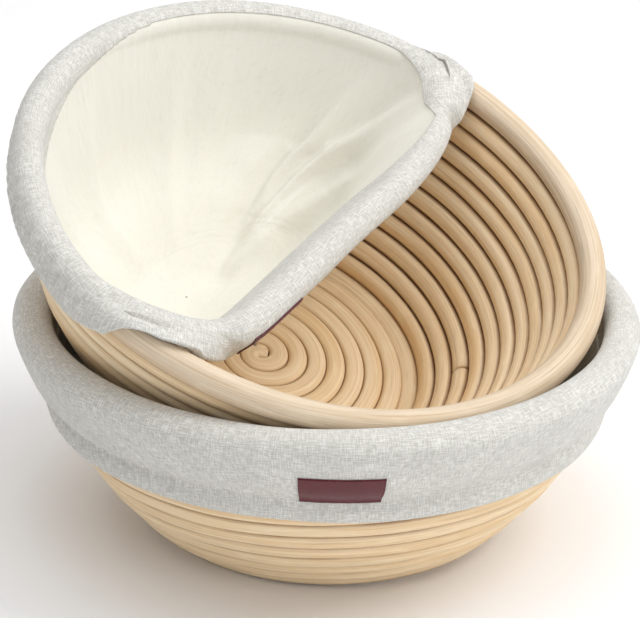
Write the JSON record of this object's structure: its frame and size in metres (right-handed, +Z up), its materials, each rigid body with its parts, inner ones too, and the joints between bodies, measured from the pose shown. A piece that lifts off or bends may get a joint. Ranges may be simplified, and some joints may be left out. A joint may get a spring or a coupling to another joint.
{
  "type": "banneton basket",
  "caption": "Nested pair of round coiled rattan proving baskets for bread dough, each with an elasticated linen liner, one liner pulled half over its basket's rim.",
  "frame": {"origin": "centre of the lower basket's floor coil, on the plane that the basket rests on", "axes": "+Z up along the lower basket's axis; -Y is the front, where the lower liner's label sits; +X is to the right seen from the front"},
  "size_m": [0.2363, 0.2346, 0.1706],
  "materials": {
    "rattan_cane": "natural, unvarnished",
    "rattan_rim": "natural, unvarnished",
    "cotton_lining": "soft, matt",
    "linen_band": "flecked plain weave",
    "elastic": "braided",
    "label": "woven"
  },
  "bodies": {
    "lower_basket": {"lower_floor_coil": "rattan_cane", "lower_wall_cane_1": "rattan_cane", "lower_wall_cane_2": "rattan_cane", "lower_wall_cane_3": "rattan_cane", "lower_wall_cane_4": "rattan_cane", "lower_rim_cane": "rattan_rim"},
    "lower_liner": {"lower_liner_lining": "cotton_lining", "lower_liner_band": "linen_band", "lower_liner_elastic": "elastic", "lower_liner_label": "label"},
    "upper_basket": {"upper_floor_coil": "rattan_cane", "upper_wall_cane_1": "rattan_cane", "upper_wall_cane_2": "rattan_cane", "upper_wall_cane_3": "rattan_cane", "upper_wall_cane_4": "rattan_cane", "upper_rim_cane": "rattan_rim"},
    "upper_liner": {"upper_liner_lining": "cotton_lining", "upper_liner_band": "linen_band", "upper_liner_elastic": "elastic", "upper_liner_label": "label"}
  },
  "joints": [
    {"name": "lower_liner_lift", "type": "slide", "parent": "lower_basket", "child": "lower_liner", "axis": [0, 0, 1], "range_m": [0, 0.1], "deforming": ["lower_liner_band", "lower_liner_elastic", "lower_liner_label"]},
    {"name": "upper_basket_lift", "type": "slide", "parent": "lower_liner", "child": "upper_basket", "axis": [0, 0, 1], "range_m": [0, 0.15]},
    {"name": "upper_liner_pull", "type": "slide", "parent": "upper_basket", "child": "upper_liner", "axis": [0.2614, -0.3037, 0.9162], "range_m": [0, 0.1]}
  ]
}
